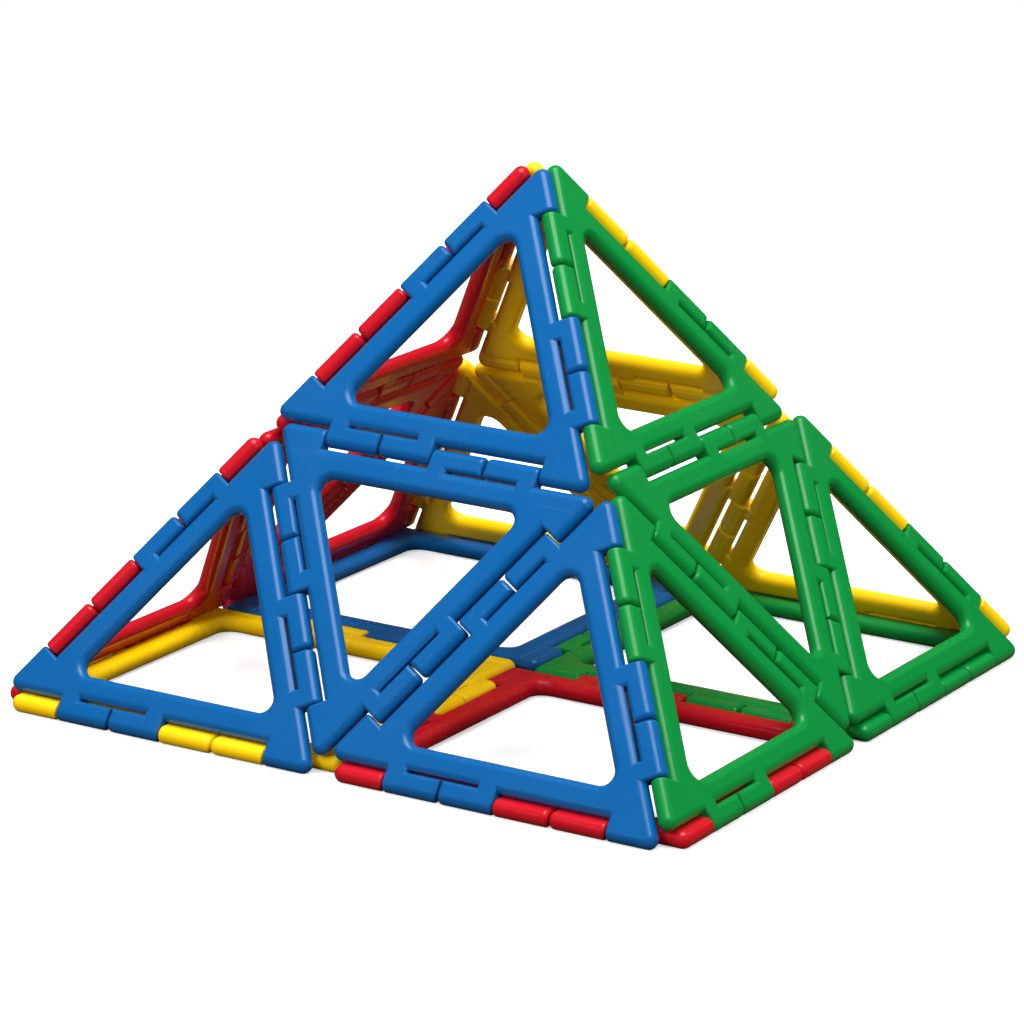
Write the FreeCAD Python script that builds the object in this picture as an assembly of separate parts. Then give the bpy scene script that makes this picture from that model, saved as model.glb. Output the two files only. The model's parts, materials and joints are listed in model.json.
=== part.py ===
"""Square pyramid built from clip-together polygon frames: 16 triangles and 4 squares.

Every frame is one open moulding.  Along each edge, seen from outside with the edge at the
bottom, it carries from left to right: a recess for the neighbour's corner knuckle, its own
split knuckle, a recess for the neighbour's split knuckle, and its own corner knuckle.
Two frames clip edge to edge because this pattern mates with itself turned half a turn.

Own frame of the model: +Z up, origin under the middle of the base, base resting on z = 0.
"""
import FreeCAD, Part
import math
import os

Vec = FreeCAD.Vector

# Driving dimensions, in millimetres.
EDGE = 71.0                 # from corner to corner along a hinge line
THICKNESS = 3.3             # of the plate, which is also the diameter of a knuckle
SET_BACK = 2.25             # from a hinge line to the plate edge in a recess
WINDOW_OFFSET = 7.6         # from a hinge line to the edge of the window
WINDOW_CORNER = 2.3         # corner radius of the window, in plan
EDGE_ROUNDING = 1.6         # radius along the plate's long edges
TIP_RADIUS = 1.8            # corner radius of a corner knuckle, in plan
PAIR_START = 12.7           # where the split knuckle starts, from the left corner
RIM_ROUNDING = 0.6          # radius round the end faces of a knuckle
END_GAP = 0.1               # each knuckle end stands this far back from the shared plane
SLOT_NEAR = 2.45            # near side of the slot, from the hinge line
SLOT_WIDTH = 0.55           # clear width of the slot at half thickness
SLOT_MARGIN = 3.1           # from an end of the split knuckle to the slot's rim
SLOT_END_RIM = 1.0          # radius of the slot's rim at both ends
SLOT_LIP = 0.9              # radius of the slot's rim on the fingers' side
DISH_WIDTH = 1.5            # width of the shallow dish on the bar's side of the slot
DISH_DEPTH = 0.6
SLIT_WIDTH = 0.3            # between the two finger tips
FINGER_ROUNDING = 0.9       # radius round a finger tip
NUB_RADIUS = 0.8            # ball nub on the end of a split knuckle
NUB_STAND = 0.6             # how far the nub stands out of the end face
NUB_CLEARANCE = 0.1         # between a nub and the dimple that receives it
RELIEF_CLEARANCE = 0.1      # between the relief inside a knuckle and the neighbour's bar
KNUCKLE_SINK = 0.3          # how far a knuckle block reaches past the bar's rounding

KNUCKLE = THICKNESS / 2
PAIR_END = EDGE / 2
CORNER_START = EDGE - PAIR_START
ROOT = SET_BACK + EDGE_ROUNDING + KNUCKLE_SINK
BASE_ANGLE = math.atan(math.sqrt(2))     # between a face of the pyramid and its base
MARGIN = 1.0                             # overshoot of a cutting tool

# Which edges of a frame carry nubs.  The hinges left without them are the ones that part
# when the pyramid is opened out.
NUB_EDGES = {"left": (0, 1), "right": (0,), "centre": (1, 2), "top": (0,), "square": (0, 1, 2, 3)}


class Edge:
    """One edge of a regular polygon: u runs along it, v into the polygon, n out of it."""

    def __init__(self, start, direction):
        self.start = start
        self.along = direction
        self.inward = Vec(-direction.y, direction.x, 0)

    def at(self, u, v, n=0.0):
        return self.start + self.along * u + self.inward * v + Vec(0, 0, n)


def polygon_edges(sides):
    """The edges of a polygon lying in the XY plane, first edge along +X, anticlockwise."""
    edges = []
    corner = Vec(0, 0, 0)
    for index in range(sides):
        angle = 2 * math.pi * index / sides
        direction = Vec(math.cos(angle), math.sin(angle), 0)
        edges.append(Edge(corner, direction))
        corner = corner + direction * EDGE
    return edges


def crossing(edge_a, v_a, edge_b, v_b):
    """Where the line v = v_a of one edge meets the line v = v_b of another."""
    a = edge_a.at(0, v_a)
    b = edge_b.at(0, v_b)
    reach = (b - a).dot(edge_b.inward) / edge_a.along.dot(edge_b.inward)
    return a + edge_a.along * reach


def slab(wire, half_thickness):
    """Extrude a plane outline both ways from the XY plane."""
    face = Part.Face(wire)
    face.translate(Vec(0, 0, -half_thickness))
    return face.extrude(Vec(0, 0, 2 * half_thickness))


def upright_edges(solid, points):
    """The edges parallel to Z that pass through the given points."""
    found = []
    for edge in solid.Edges:
        a, b = edge.Vertexes[0].Point, edge.Vertexes[-1].Point
        if abs(a.x - b.x) > 1e-6 or abs(a.y - b.y) > 1e-6:
            continue
        if any(math.hypot(a.x - p.x, a.y - p.y) < 1e-6 for p in points):
            found.append(edge)
    return found


def rim_edges(solid, keep):
    """The edges in the top and bottom planes whose midpoint satisfies keep(point)."""
    found = []
    for edge in solid.Edges:
        middle = edge.valueAt((edge.FirstParameter + edge.LastParameter) / 2)
        if abs(abs(middle.z) - KNUCKLE) < 1e-6 and keep(middle):
            found.append(edge)
    return found


def plate(edges):
    """The open plate with its corner knuckles still square in section."""
    step = CORNER_START + ROOT / 2
    outline = []
    tips = []
    for index, edge in enumerate(edges):
        following = edges[(index + 1) % len(edges)]
        tips.append(crossing(edge, -KNUCKLE, following, SET_BACK))
        outline += [edge.at(step, SET_BACK), edge.at(step, -KNUCKLE), tips[-1]]
    body = slab(Part.makePolygon(outline + outline[:1]), KNUCKLE)
    body = body.makeFillet(TIP_RADIUS, upright_edges(body, tips))

    hole_corners = [crossing(edges[i - 1], WINDOW_OFFSET, edges[i], WINDOW_OFFSET)
                    for i in range(len(edges))]
    hole = slab(Part.makePolygon(hole_corners + hole_corners[:1]), KNUCKLE + MARGIN)
    hole = hole.makeFillet(WINDOW_CORNER, upright_edges(hole, hole_corners))
    body = body.cut(hole)

    def is_long_edge(point):
        # Everything except the step at the start of each corner knuckle.
        return all(abs((point - edge.at(0, 0)).dot(edge.along) - step) > 0.01 for edge in edges)

    return body.makeFillet(EDGE_ROUNDING, rim_edges(body, is_long_edge))


def barrel_trim(edge):
    """Cutting tool that turns the outside of a corner knuckle into a half cylinder."""
    length = EDGE - CORNER_START + 2 * MARGIN
    start = CORNER_START - MARGIN
    depth = KNUCKLE + MARGIN
    corners = [edge.at(start, 0, -depth), edge.at(start, -depth, -depth),
               edge.at(start, -depth, depth), edge.at(start, 0, depth)]
    block = Part.Face(Part.makePolygon(corners + corners[:1])).extrude(edge.along * length)
    return block.cut(Part.makeCylinder(KNUCKLE, length, edge.at(start, 0), edge.along))


def knuckle_block(edge, start, end, round_start, round_end):
    """D-shaped block about the hinge line, sunk into the bar, with rounded end rims."""
    top = edge.at(start, 0, KNUCKLE)
    nose = edge.at(start, -KNUCKLE)
    bottom = edge.at(start, 0, -KNUCKLE)
    back_top = edge.at(start, ROOT, KNUCKLE)
    back_bottom = edge.at(start, ROOT, -KNUCKLE)
    section = Part.Wire([
        Part.LineSegment(back_top, top).toShape(),
        Part.Arc(top, nose, bottom).toShape(),
        Part.LineSegment(bottom, back_bottom).toShape(),
        Part.LineSegment(back_bottom, back_top).toShape(),
    ])
    block = Part.Face(section).extrude(edge.along * (end - start))
    planes = [place for place, rounded in ((start, round_start), (end, round_end)) if rounded]
    rims = []
    for rim in block.Edges:
        middle = rim.valueAt((rim.FirstParameter + rim.LastParameter) / 2) - edge.start
        in_plane = any(abs(middle.dot(edge.along) - place) < 1e-6 for place in planes)
        if in_plane and middle.dot(edge.inward) < ROOT - 1e-6:
            rims.append(rim)
    return block.makeFillet(RIM_ROUNDING, rims)


def relief(edge):
    """Cutting tool for a shallow hollow inside both knuckles.

    With the fold closed to the base angle, the rounded edge of the neighbour's bar lies
    in this hollow.
    """
    reach = SET_BACK + EDGE_ROUNDING
    inset = KNUCKLE - EDGE_ROUNDING
    v = reach * math.cos(BASE_ANGLE) + inset * math.sin(BASE_ANGLE)
    height = reach * math.sin(BASE_ANGLE) - inset * math.cos(BASE_ANGLE)
    start = PAIR_START - MARGIN
    length = EDGE + 2 * MARGIN - start
    return Part.makeCylinder(EDGE_ROUNDING + RELIEF_CLEARANCE, length,
                             edge.at(start, v, -height), edge.along)


def flank(place, inner, width, depth):
    """One side of a waisted section, from the bottom up, with its two outermost points.

    place(x, n) gives a point.  Each rim starts at the waist, depth below the face, and
    meets the face tangentially, width further out.  A negative width flares to lower x.
    """
    outer = inner + width
    waist = KNUCKLE - depth
    over = KNUCKLE + MARGIN
    radius = (width ** 2 + depth ** 2) / (2 * depth)
    half_turn = math.asin(abs(width) / radius) / 2
    bend = outer - math.copysign(radius * math.sin(half_turn), width)
    level = KNUCKLE - radius * (1 - math.cos(half_turn))
    return [
        Part.LineSegment(place(outer, -over), place(outer, -KNUCKLE)).toShape(),
        Part.Arc(place(outer, -KNUCKLE), place(bend, -level), place(inner, -waist)).toShape(),
        Part.LineSegment(place(inner, -waist), place(inner, waist)).toShape(),
        Part.Arc(place(inner, waist), place(bend, level), place(outer, KNUCKLE)).toShape(),
        Part.LineSegment(place(outer, KNUCKLE), place(outer, over)).toShape(),
    ]


def waisted_section(place, low, low_rim, high, high_rim):
    """Section of a cutting tool that leaves rounded rims on both faces of the plate.

    Each rim is given as its width and depth.
    """
    over = KNUCKLE + MARGIN
    left, right = low - low_rim[0], high + high_rim[0]
    sides = flank(place, low, -low_rim[0], low_rim[1]) + flank(place, high, *high_rim)
    sides.append(Part.LineSegment(place(left, over), place(right, over)).toShape())
    sides.append(Part.LineSegment(place(left, -over), place(right, -over)).toShape())
    return Part.Face(Part.Wire(Part.__sortEdges__(sides)))


def slot_tool(edge):
    """The slot behind the two fingers, with a shallow dish on the bar's side."""
    far = SLOT_NEAR + SLOT_WIDTH
    lip = (SLOT_LIP, SLOT_LIP)
    dish = (DISH_WIDTH, DISH_DEPTH)
    end = (SLOT_END_RIM, SLOT_END_RIM)
    across = waisted_section(lambda x, n: edge.at(PAIR_START, x, n), SLOT_NEAR, lip, far, dish)
    across = across.extrude(edge.along * (PAIR_END - PAIR_START))
    first = PAIR_START + SLOT_MARGIN + SLOT_END_RIM
    last = PAIR_END - SLOT_MARGIN - SLOT_END_RIM
    lengthwise = waisted_section(lambda x, n: edge.at(x, 0, n), first, end, last, end)
    lengthwise = lengthwise.extrude(edge.inward * (far + 2 * DISH_WIDTH))
    return across.common(lengthwise)


def slit_tool(edge):
    """The slit between the two finger tips, flared round the outside of the knuckle."""
    centre = (PAIR_START + PAIR_END) / 2
    half = SLIT_WIDTH / 2
    flare = FINGER_ROUNDING
    quarter = flare * (1 - math.sqrt(0.5))
    outside = KNUCKLE + MARGIN
    floor = KNUCKLE - flare - SLIT_WIDTH
    reach = SLOT_NEAR + SLOT_WIDTH / 2

    def point(u, n):
        return edge.at(centre + u, 0, n)

    notch = Part.Face(Part.Wire([
        Part.LineSegment(point(-half, floor), point(half, floor)).toShape(),
        Part.LineSegment(point(half, floor), point(half, KNUCKLE - flare)).toShape(),
        Part.Arc(point(half, KNUCKLE - flare), point(half + quarter, KNUCKLE - quarter),
                 point(half + flare, KNUCKLE)).toShape(),
        Part.LineSegment(point(half + flare, KNUCKLE), point(half + flare, outside)).toShape(),
        Part.LineSegment(point(half + flare, outside), point(-half - flare, outside)).toShape(),
        Part.LineSegment(point(-half - flare, outside), point(-half - flare, KNUCKLE)).toShape(),
        Part.Arc(point(-half - flare, KNUCKLE), point(-half - quarter, KNUCKLE - quarter),
                 point(-half, KNUCKLE - flare)).toShape(),
        Part.LineSegment(point(-half, KNUCKLE - flare), point(-half, floor)).toShape(),
    ]))
    over_top = notch.extrude(edge.inward * reach)
    under = notch.copy()
    under.rotate(edge.at(centre, 0), edge.along, 180)
    under = under.extrude(edge.inward * reach)
    round_nose = notch.revolve(edge.at(centre, 0), edge.along, 180)
    start = centre - half
    corners = [edge.at(start, -outside, -outside), edge.at(start, reach, -outside),
               edge.at(start, reach, outside), edge.at(start, -outside, outside)]
    blade = Part.Face(Part.makePolygon(corners + corners[:1])).extrude(edge.along * SLIT_WIDTH)
    return [over_top, under, round_nose, blade]


def nub(edge):
    """Ball nub on the outer end of the split knuckle, on the hinge line."""
    face = PAIR_START + END_GAP
    return Part.makeSphere(NUB_RADIUS, edge.at(face - NUB_STAND + NUB_RADIUS, 0))


def dimple(edge):
    """Hollow in the end of the corner knuckle that receives the neighbour's nub."""
    neighbour_face = CORNER_START - END_GAP
    return Part.makeSphere(NUB_RADIUS + NUB_CLEARANCE,
                           edge.at(neighbour_face + NUB_STAND - NUB_RADIUS, 0))


def frame(sides, nub_edges):
    """One complete moulding, lying in the XY plane with its outer face up."""
    edges = polygon_edges(sides)
    body = plate(edges)
    for edge in edges:
        body = body.cut(barrel_trim(edge))
    blocks = []
    for edge in edges:
        first, last = CORNER_START + END_GAP, CORNER_START + ROOT
        blocks.append(knuckle_block(edge, first, last, True, False))
        first, last = PAIR_START + END_GAP, PAIR_END - END_GAP
        blocks.append(knuckle_block(edge, first, last, True, True))
    body = body.fuse(blocks).removeSplitter()
    tools = []
    for edge in edges:
        tools.append(slot_tool(edge))
        tools += slit_tool(edge)
        tools.append(dimple(edge))
        tools.append(relief(edge))
    body = body.cut(tools)
    if nub_edges:
        body = body.fuse([nub(edges[index]) for index in nub_edges])
    body = body.removeSplitter()
    return body.Solids[0]


def place(shape, corners):
    """Move a frame so that its corners lie on the given points, outer face outwards."""
    along = (corners[1] - corners[0]).normalize()
    towards = corners[2] - corners[0]
    normal = along.cross(towards).normalize()
    inward = normal.cross(along)
    matrix = FreeCAD.Matrix(
        along.x, inward.x, normal.x, corners[0].x,
        along.y, inward.y, normal.y, corners[0].y,
        along.z, inward.z, normal.z, corners[0].z,
        0, 0, 0, 1)
    moved = shape.copy()
    moved.Placement = FreeCAD.Placement(matrix)
    return moved


def middle(a, b):
    return (a + b) * 0.5


def pyramid():
    """Every node of the pyramid: name and placed shape."""
    floor = KNUCKLE
    left = Vec(-EDGE, -EDGE, floor)
    front = Vec(EDGE, -EDGE, floor)
    right = Vec(EDGE, EDGE, floor)
    back = Vec(-EDGE, EDGE, floor)
    centre = Vec(0, 0, floor)
    apex = Vec(0, 0, floor + EDGE * math.sqrt(2))
    shapes = {kind: frame(4 if kind == "square" else 3, NUB_EDGES[kind]) for kind in NUB_EDGES}
    nodes = {}
    for colour, p, q in (("blue", left, front), ("green", front, right),
                         ("yellow", right, back), ("red", back, left)):
        foot, rise_p, rise_q = middle(p, q), middle(p, apex), middle(q, apex)
        for kind, corners in (("left", (p, foot, rise_p)), ("right", (foot, q, rise_q)),
                              ("centre", (foot, rise_q, rise_p)), ("top", (rise_p, rise_q, apex))):
            nodes["%s_triangle_%s" % (colour, kind)] = place(shapes[kind], corners)
    for name, before, corner, after in (("left_yellow", back, left, front),
                                        ("front_red", left, front, right),
                                        ("right_green", front, right, back),
                                        ("back_blue", right, back, left)):
        corners = (corner, middle(corner, before), centre, middle(corner, after))
        nodes["base_square_" + name] = place(shapes["square"], corners)
    return nodes


os.makedirs("parts", exist_ok=True)
for node, shape in pyramid().items():
    shape.exportStep("parts/%s.step" % node)
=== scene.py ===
"""Looks for a square pyramid clipped together from glossy moulded plastic frames.

Lengths are in metres.  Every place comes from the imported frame: the width of the base gives
the length of a hinge line, and the camera and the lights are placed in those lengths.
"""
import json
import math

import bpy
from mathutils import Matrix, Vector

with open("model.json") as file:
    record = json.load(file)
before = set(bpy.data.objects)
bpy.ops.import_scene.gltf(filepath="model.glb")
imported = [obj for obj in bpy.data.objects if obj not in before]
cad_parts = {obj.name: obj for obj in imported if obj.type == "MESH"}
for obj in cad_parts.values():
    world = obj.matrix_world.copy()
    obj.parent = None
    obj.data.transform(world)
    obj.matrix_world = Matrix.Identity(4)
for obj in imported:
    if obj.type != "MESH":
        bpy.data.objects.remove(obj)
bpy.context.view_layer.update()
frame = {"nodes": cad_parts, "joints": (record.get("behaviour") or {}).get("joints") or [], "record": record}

# Camera, in degrees and in hinge-line lengths.
AZIMUTH = 29.99
ELEVATION = 15.71
ROLL = 1.56
DISTANCE = 12.707
AIM_HEIGHT = 0.5657
AIM_ACROSS = -0.0452
AIM_UP = -0.1155
FOCAL_WIDTHS = 4.6467       # focal length in picture widths
SENSOR = 36.0               # mm

# Sky, as radiance: at the horizon, at its brightest, and the share of it that reflections
# see.  SKY_TOP is the sine of the elevation from which it is brightest.
SKY_LOW = 0.12
SKY_HIGH = 0.75
SKY_TOP = 0.7
SKY_MIRRORED = 0.08

# Floor: half its width and where it fades to white, in hinge-line lengths; reflectance seen
# by the camera and by the object; white added to it in the picture.
FLOOR_REACH = 60.0
FADE_START = 2.5
FADE_END = 9.0
FLOOR_SEEN = 0.80
FLOOR_BOUNCE = (0.08, 0.055, 0.035)
FLOOR_LIFT = 0.45

# Lights: name, place and side in hinge-line lengths, power in watts, seen in reflections.
# The height they all aim at is in hinge-line lengths too.
LIGHTS = (
    ("overhead", (0.8, -1.6, 9.5), 6.5, 2.4, True),
    ("above", (0.0, 0.5, 9.5), 5.0, 2.9, False),
    ("front_left", (-3.0, -9.5, 4.5), 4.0, 2.4, False),
    ("front_right", (9.2, -4.0, 4.5), 4.0, 2.0, False),
    ("back_left", (-8.0, 4.0, 4.5), 4.0, 1.3, False),
    ("back_right", (3.0, 9.0, 4.5), 4.0, 1.3, False),
)
LIGHT_AIM = 0.5

# Colours of the four plastics, linear, and of the rubbed plastic that shows at worn edges.
COLOURS = {
    "blue_plastic": (0.0004, 0.092, 0.295),
    "green_plastic": (0.0004, 0.216, 0.034),
    "red_plastic": (0.490, 0.004, 0.013),
    "yellow_plastic": (0.920, 0.575, 0.0010),
}
RUBBED = 0.8                # grey level of fully rubbed plastic
RUBBED_SHARE = 0.25         # of it in the colour of a worn edge
WORN_TINT = 0.10            # how far a worn edge goes to that colour

# Patterns in the plastic: noise frequencies, per metre, and how far the patterns of one
# colour are moved from those of the next.
PIGMENT_DRIFT = 28.0
FLOW_STREAKS = 160.0
FINGER_MARKS = 60.0
FINE_GRAIN = 900.0
WAVINESS = 420.0
EDGE_BREAKUP = 350.0
PATTERN_SHIFT = 0.37

# Scratches: how the grain is turned, in radians, and its noise frequencies, per metre.
SCRATCHES = ((0.6, (40.0, 900.0, 200.0)), (2.1, (700.0, 30.0, 240.0)))

# Brightness of the colour: the range of the drift, and what the streaks add to it.
DRIFT_RANGE = (0.965, 1.03)
STREAK_RANGE = (-0.012, 0.012)

# Roughness: from clean to smeared, and what fine grain, scratches and worn edges add to it.
GLOSS = (0.20, 0.30)
GRAIN_RANGE = (-0.02, 0.02)
SCRATCH_DULLS = 0.18
WEAR_DULLS = 0.15
COAT_SHARE = 0.15
COAT_ROUGHNESS = 0.12
REFRACTION = 1.5

# Relief: its height in metres, its strength, and the depth of a scratch as a share of it.
# An edge is worn where the surface bends within WORN_RADIUS, in metres.
RELIEF = 0.0004
RELIEF_STRENGTH = 0.05
SCRATCH_DEPTH = 0.25
WORN_RADIUS = 0.0006


def hinge_line():
    """Length of one hinge line: half the distance between opposite hinge axes of the base."""
    folds = {joint["name"]: joint for joint in frame["joints"]}
    blue = Vector(folds["blue_face_fold"]["pos_m"])
    yellow = Vector(folds["yellow_face_fold"]["pos_m"])
    return (yellow - blue).y / 2


EDGE = hinge_line()


def axis_height():
    """Height of the base's hinge axes, which is the height of the frames' mid-plane."""
    return frame["joints"][0]["pos_m"][2]


# ---------------------------------------------------------------- node helpers

class Nodes:
    """Short calls for building a node tree."""

    def __init__(self, tree):
        self.tree = tree
        tree.nodes.clear()

    def add(self, kind, settings=None, **inputs):
        node = self.tree.nodes.new(kind)
        for name, value in (settings or {}).items():
            setattr(node, name, value)
        for name, value in inputs.items():
            self.feed(node, name.replace("_", " "), value)
        return node

    def feed(self, node, name, value):
        socket = next(s for s in node.inputs if s.name.lower() == name.lower() and s.enabled)
        self.fill(socket, value)

    def fill(self, socket, value):
        """Links a socket, or sets its value."""
        if isinstance(value, bpy.types.NodeSocket):
            self.tree.links.new(value, socket)
        else:
            socket.default_value = value

    def link(self, source, target):
        self.tree.links.new(source, target)

    def math(self, operation, a, b=0.0, clamp=False):
        node = self.add("ShaderNodeMath", {"operation": operation, "use_clamp": clamp})
        self.fill(node.inputs[0], a)
        self.fill(node.inputs[1], b)
        return node.outputs[0]

    def spread(self, value, low, high, to_low, to_high):
        """Maps low..high to to_low..to_high, and holds the end values outside it."""
        node = self.add("ShaderNodeMapRange", Value=value, From_Min=low, From_Max=high,
                        To_Min=to_low, To_Max=to_high)
        return node.outputs[0]

    def noise(self, place, scale, detail=2.0, roughness=0.5):
        node = self.add("ShaderNodeTexNoise", Scale=scale, Detail=detail, Roughness=roughness,
                        Vector=place)
        return node.outputs["Fac"]


# ---------------------------------------------------------------- materials

def moulded_plastic(name, colour, shift):
    """Glossy injection-moulded plastic with handling wear.

    shift moves the patterns, so that no two colours wear alike.
    """
    material = bpy.data.materials.new(name)
    material.use_nodes = True
    nodes = Nodes(material.node_tree)
    place = nodes.add("ShaderNodeTexCoord").outputs["Object"]
    mapping = nodes.add("ShaderNodeMapping", Vector=place, Location=(shift, -shift, shift))
    moved = mapping.outputs[0]
    worn = worn_edges(nodes, moved)
    scratches = scratch_mask(nodes, moved)
    skin_shader = nodes.add(
        "ShaderNodeBsdfPrincipled", Base_Color=plastic_colour(nodes, moved, colour, worn),
        Roughness=plastic_gloss(nodes, moved, scratches, worn),
        Normal=plastic_relief(nodes, moved, scratches), IOR=REFRACTION,
        Coat_Weight=COAT_SHARE, Coat_Roughness=COAT_ROUGHNESS)
    nodes.add("ShaderNodeOutputMaterial", Surface=skin_shader.outputs[0])
    return material


def plastic_colour(nodes, place, colour, worn):
    """Slow drift of the pigment, faint flow streaks, paler rubbed edges."""
    drift = nodes.noise(place, PIGMENT_DRIFT, 3.0)
    streaks = nodes.noise(place, FLOW_STREAKS, 4.0, 0.6)
    value = nodes.math("ADD", nodes.spread(drift, 0.3, 0.7, *DRIFT_RANGE),
                       nodes.spread(streaks, 0.3, 0.7, *STREAK_RANGE))
    tinted = nodes.add("ShaderNodeHueSaturation", Value=value, Color=(*colour, 1.0))
    rubbed = [(1 - RUBBED_SHARE) * channel + RUBBED_SHARE * RUBBED for channel in colour]
    shade = nodes.add("ShaderNodeMix", {"data_type": "RGBA"},
                      Factor=nodes.math("MULTIPLY", worn, WORN_TINT),
                      A=tinted.outputs[0], B=(*rubbed, 1.0))
    return shade.outputs["Result"]


def plastic_gloss(nodes, place, scratches, worn):
    """Roughness: a polished mould finish, dulled by finger marks, scratches and wear."""
    smears = nodes.noise(place, FINGER_MARKS, 3.0, 0.6)
    fine = nodes.noise(place, FINE_GRAIN, 2.0)
    gloss = nodes.spread(smears, 0.35, 0.7, *GLOSS)
    gloss = nodes.math("ADD", gloss, nodes.spread(fine, 0.3, 0.7, *GRAIN_RANGE))
    gloss = nodes.math("ADD", gloss, nodes.math("MULTIPLY", scratches, SCRATCH_DULLS))
    return nodes.math("ADD", gloss, nodes.math("MULTIPLY", worn, WEAR_DULLS), clamp=True)


def plastic_relief(nodes, place, scratches):
    """The slight waviness of a moulded skin, and the scratches."""
    skin = nodes.noise(place, WAVINESS, 2.0, 0.4)
    height = nodes.math("SUBTRACT", skin, nodes.math("MULTIPLY", scratches, SCRATCH_DEPTH))
    bump = nodes.add("ShaderNodeBump", Strength=RELIEF_STRENGTH, Distance=RELIEF, Height=height)
    return bump.outputs[0]


def worn_edges(nodes, place):
    """1 on sharp edges, broken up by noise: where a rounded normal leaves the true one."""
    rounded = nodes.add("ShaderNodeBevel", {"samples": 4}, Radius=WORN_RADIUS).outputs[0]
    true = nodes.add("ShaderNodeNewGeometry").outputs["Normal"]
    facing = nodes.add("ShaderNodeVectorMath", {"operation": "DOT_PRODUCT"})
    nodes.link(rounded, facing.inputs[0])
    nodes.link(true, facing.inputs[1])
    edge = nodes.spread(facing.outputs["Value"], 0.995, 0.90, 0.0, 1.0)
    broken = nodes.spread(nodes.noise(place, EDGE_BREAKUP, 3.0, 0.6), 0.42, 0.62, 0.0, 1.0)
    return nodes.math("MULTIPLY", edge, broken, clamp=True)


def scratch_mask(nodes, place):
    """Thin, short scratches in two directions: 1 in a scratch, 0 elsewhere."""
    masks = []
    for turn, frequencies in SCRATCHES:
        laid = nodes.add("ShaderNodeMapping", Vector=place, Rotation=(turn, 0.4 * turn, turn),
                         Scale=frequencies).outputs[0]
        masks.append(nodes.spread(nodes.noise(laid, 1.0, 1.0), 0.72, 0.80, 0.0, 1.0))
    return nodes.math("MAXIMUM", *masks)


def paint_frames():
    """Gives every frame of the pyramid the plastic of its material slot."""
    plastics = {slot: moulded_plastic(slot, colour, PATTERN_SHIFT * index)
                for index, (slot, colour) in enumerate(COLOURS.items())}
    for subpart in frame["record"]["subparts"]:
        piece = frame["nodes"][subpart["node"]]
        piece.data.materials.clear()
        piece.data.materials.append(plastics[subpart["material_slot"]])


# ---------------------------------------------------------------- surroundings

def make_floor():
    """A pale matt floor, far larger than the object, that fades to white with distance.

    It looks nearly white to the camera, but throws little light back up on the object.
    """
    half = FLOOR_REACH * EDGE
    mesh = bpy.data.meshes.new("floor")
    mesh.from_pydata([(-half, -half, 0), (half, -half, 0), (half, half, 0), (-half, half, 0)],
                     [], [(0, 1, 2, 3)])
    mesh.materials.append(floor_material())
    floor = bpy.data.objects.new("floor", mesh)
    bpy.context.scene.collection.objects.link(floor)


def floor_material():
    material = bpy.data.materials.new("pale_floor")
    material.use_nodes = True
    nodes = Nodes(material.node_tree)
    seen = nodes.add("ShaderNodeLightPath").outputs["Is Camera Ray"]
    place = nodes.add("ShaderNodeTexCoord").outputs["Object"]
    away = nodes.add("ShaderNodeVectorMath", {"operation": "LENGTH"}, Vector=place)
    grain = nodes.spread(nodes.noise(place, 90.0, 4.0), 0.3, 0.7, 0.985, 1.0)
    pale = nodes.math("MULTIPLY", grain, FLOOR_SEEN)
    red, green, blue = (nodes.add("ShaderNodeMix", Factor=seen, A=share, B=pale).outputs[0]
                        for share in FLOOR_BOUNCE)
    colour = nodes.add("ShaderNodeCombineColor", Red=red, Green=green, Blue=blue)
    matt = nodes.add("ShaderNodeBsdfDiffuse", Color=colour.outputs[0], Roughness=0.5)
    lift = nodes.add("ShaderNodeEmission", Strength=nodes.math("MULTIPLY", seen, FLOOR_LIFT))
    lit = nodes.add("ShaderNodeAddShader")
    nodes.link(matt.outputs[0], lit.inputs[0])
    nodes.link(lift.outputs[0], lit.inputs[1])
    white = nodes.add("ShaderNodeEmission", Strength=seen)
    fade = nodes.spread(away.outputs["Value"], FADE_START * EDGE, FADE_END * EDGE, 0.0, 1.0)
    blend = nodes.add("ShaderNodeMixShader")
    nodes.link(fade, blend.inputs[0])
    nodes.link(lit.outputs[0], blend.inputs[1])
    nodes.link(white.outputs[0], blend.inputs[2])
    nodes.add("ShaderNodeOutputMaterial", Surface=blend.outputs[0])
    return material


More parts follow.
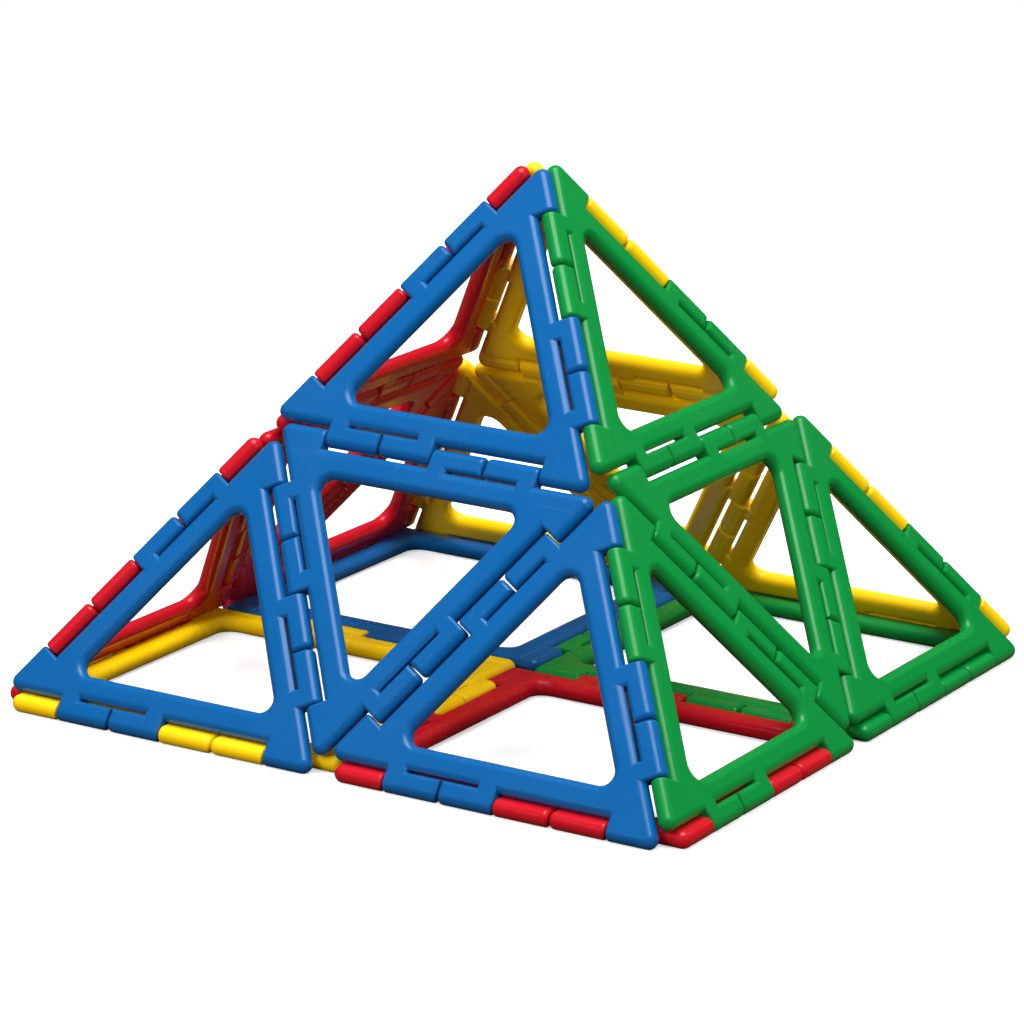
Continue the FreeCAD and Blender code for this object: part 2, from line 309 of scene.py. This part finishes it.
def make_world():
    """White for the camera; for the surfaces a sky that is dim at the horizon."""
    world = bpy.data.worlds.new("studio")
    bpy.context.scene.world = world
    world.use_nodes = True
    nodes = Nodes(world.node_tree)
    path = nodes.add("ShaderNodeLightPath")
    where = nodes.add("ShaderNodeSeparateXYZ")
    nodes.link(nodes.add("ShaderNodeTexCoord").outputs["Generated"], where.inputs[0])
    sky = nodes.spread(where.outputs["Z"], 0.0, SKY_TOP, SKY_LOW, SKY_HIGH)
    dulled = nodes.spread(path.outputs["Is Glossy Ray"], 0.0, 1.0, 1.0, SKY_MIRRORED)
    strength = nodes.math("MULTIPLY", sky, dulled)
    strength = nodes.math("MAXIMUM", strength, path.outputs["Is Camera Ray"])
    background = nodes.add("ShaderNodeBackground", Color=(1, 1, 1, 1), Strength=strength)
    nodes.add("ShaderNodeOutputWorld", Surface=background.outputs[0])
    world.cycles.sampling_method = "NONE"    # so that reflections see the dimmed sky only


def make_lights():
    """Square soft lights, all aimed at the middle of the object."""
    for name, place, side, power, mirrored in LIGHTS:
        data = bpy.data.lights.new(name, "AREA")
        data.shape = "SQUARE"
        data.size = side * EDGE
        data.energy = power
        light = bpy.data.objects.new(name, data)
        light.location = Vector(place) * EDGE
        aim = Vector((0, 0, LIGHT_AIM * EDGE)) - light.location
        light.rotation_euler = aim.to_track_quat("-Z", "Y").to_euler()
        light.visible_glossy = mirrored
        bpy.context.scene.collection.objects.link(light)


def make_camera():
    azimuth, elevation, roll = (math.radians(x) for x in (AZIMUTH, ELEVATION, ROLL))
    level = math.cos(elevation)
    back = Vector((math.sin(azimuth) * level, -math.cos(azimuth) * level, math.sin(elevation)))
    right = (-back).cross(Vector((0, 0, 1))).normalized()
    up = right.cross(-back)
    aim = Vector((0, 0, AIM_HEIGHT)) + right * AIM_ACROSS + up * AIM_UP
    data = bpy.data.cameras.new("camera")
    data.sensor_width = SENSOR
    data.lens = FOCAL_WIDTHS * SENSOR
    camera = bpy.data.objects.new("camera", data)
    camera.location = (aim + back * DISTANCE) * EDGE + Vector((0, 0, axis_height()))
    camera.rotation_mode = "QUATERNION"
    tilted_up = up * math.cos(roll) - right * math.sin(roll)
    tilted_right = right * math.cos(roll) + up * math.sin(roll)
    axes = Matrix((tilted_right, tilted_up, back)).transposed()
    camera.rotation_quaternion = axes.to_quaternion()
    bpy.context.scene.collection.objects.link(camera)
    bpy.context.scene.camera = camera


bpy.context.scene.view_settings.view_transform = "Standard"
paint_frames()
make_floor()
make_world()
make_lights()
make_camera()
